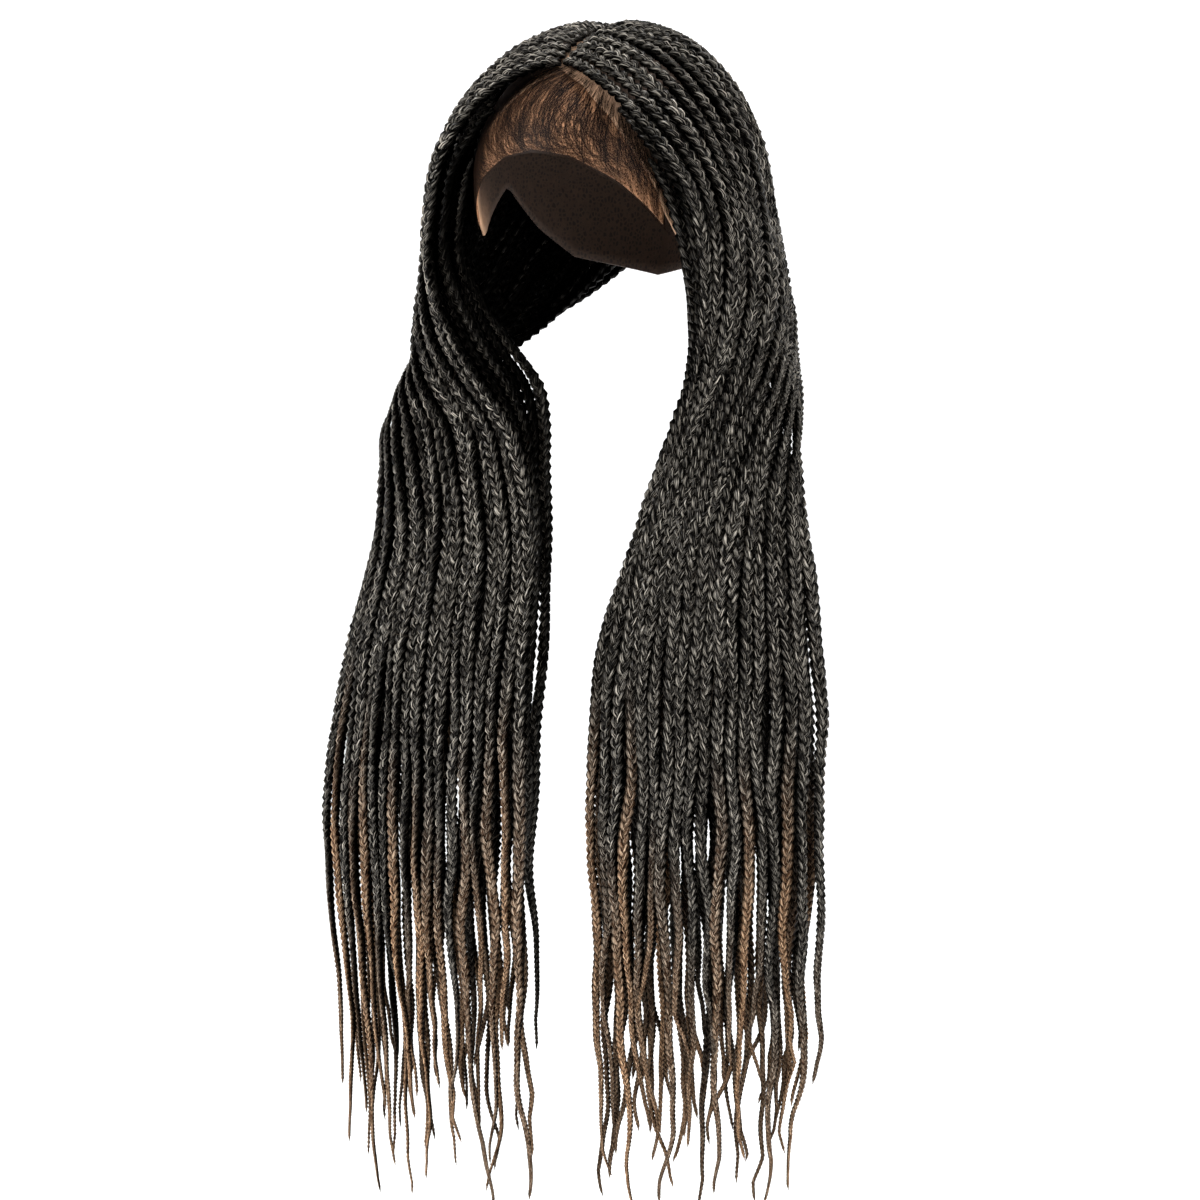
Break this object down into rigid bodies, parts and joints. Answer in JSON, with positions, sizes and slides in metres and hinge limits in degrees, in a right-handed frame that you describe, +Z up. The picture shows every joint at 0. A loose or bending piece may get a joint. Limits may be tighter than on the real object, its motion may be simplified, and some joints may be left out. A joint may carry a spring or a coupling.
{
  "type": "braid wig",
  "caption": "Long box-braid wig on a lace cap: centre part, sheer lace front, braids brought forward in two curtains that hang to thin tips.",
  "frame": {"origin": "inside of the cap at its crown, where it sits on the head", "axes": "+Z up, -Y the way the face looks, +X the wearer's left"},
  "size_m": [0.3828, 0.228, 0.8096],
  "materials": {
    "braided_fibre": "off-black synthetic fibre, braided, brown towards the tips",
    "under_fibre": "off-black synthetic fibre, braided, in shade under the outer braids",
    "cap_net": "stretch lace cap net with a tan parting",
    "sheer_lace": "sheer tan lace"
  },
  "bodies": {
    "root": {"inner_lock_left_1": "under_fibre", "inner_lock_left_2": "under_fibre", "inner_lock_left_3": "under_fibre", "inner_lock_left_4": "under_fibre", "inner_lock_left_5": "under_fibre", "inner_lock_left_6": "under_fibre", "inner_lock_right_1": "under_fibre", "inner_lock_right_2": "under_fibre", "inner_lock_right_3": "under_fibre", "inner_lock_right_4": "under_fibre", "inner_lock_right_5": "under_fibre", "inner_lock_right_6": "under_fibre", "lace_cap": "cap_net", "lace_front": "sheer_lace", "middle_lock_left_1": "under_fibre", "middle_lock_left_2": "under_fibre", "middle_lock_left_3": "under_fibre", "middle_lock_left_4": "under_fibre", "middle_lock_left_5": "under_fibre", "middle_lock_left_6": "under_fibre", "middle_lock_left_7": "under_fibre", "middle_lock_left_8": "under_fibre", "middle_lock_right_1": "under_fibre", "middle_lock_right_2": "under_fibre", "middle_lock_right_3": "under_fibre", "middle_lock_right_4": "under_fibre", "middle_lock_right_5": "under_fibre", "middle_lock_right_6": "under_fibre", "middle_lock_right_7": "under_fibre", "middle_lock_right_8": "under_fibre", "outer_lock_left_1": "braided_fibre", "outer_lock_left_2": "braided_fibre", "outer_lock_left_3": "braided_fibre", "outer_lock_left_4": "braided_fibre", "outer_lock_left_5": "braided_fibre", "outer_lock_left_6": "braided_fibre", "outer_lock_left_7": "braided_fibre", "outer_lock_left_8": "braided_fibre", "outer_lock_left_9": "braided_fibre", "outer_lock_right_1": "braided_fibre", "outer_lock_right_2": "braided_fibre", "outer_lock_right_3": "braided_fibre", "outer_lock_right_4": "braided_fibre", "outer_lock_right_5": "braided_fibre", "outer_lock_right_6": "braided_fibre", "outer_lock_right_7": "braided_fibre", "outer_lock_right_8": "braided_fibre", "outer_lock_right_9": "braided_fibre"}
  },
  "joints": []
}
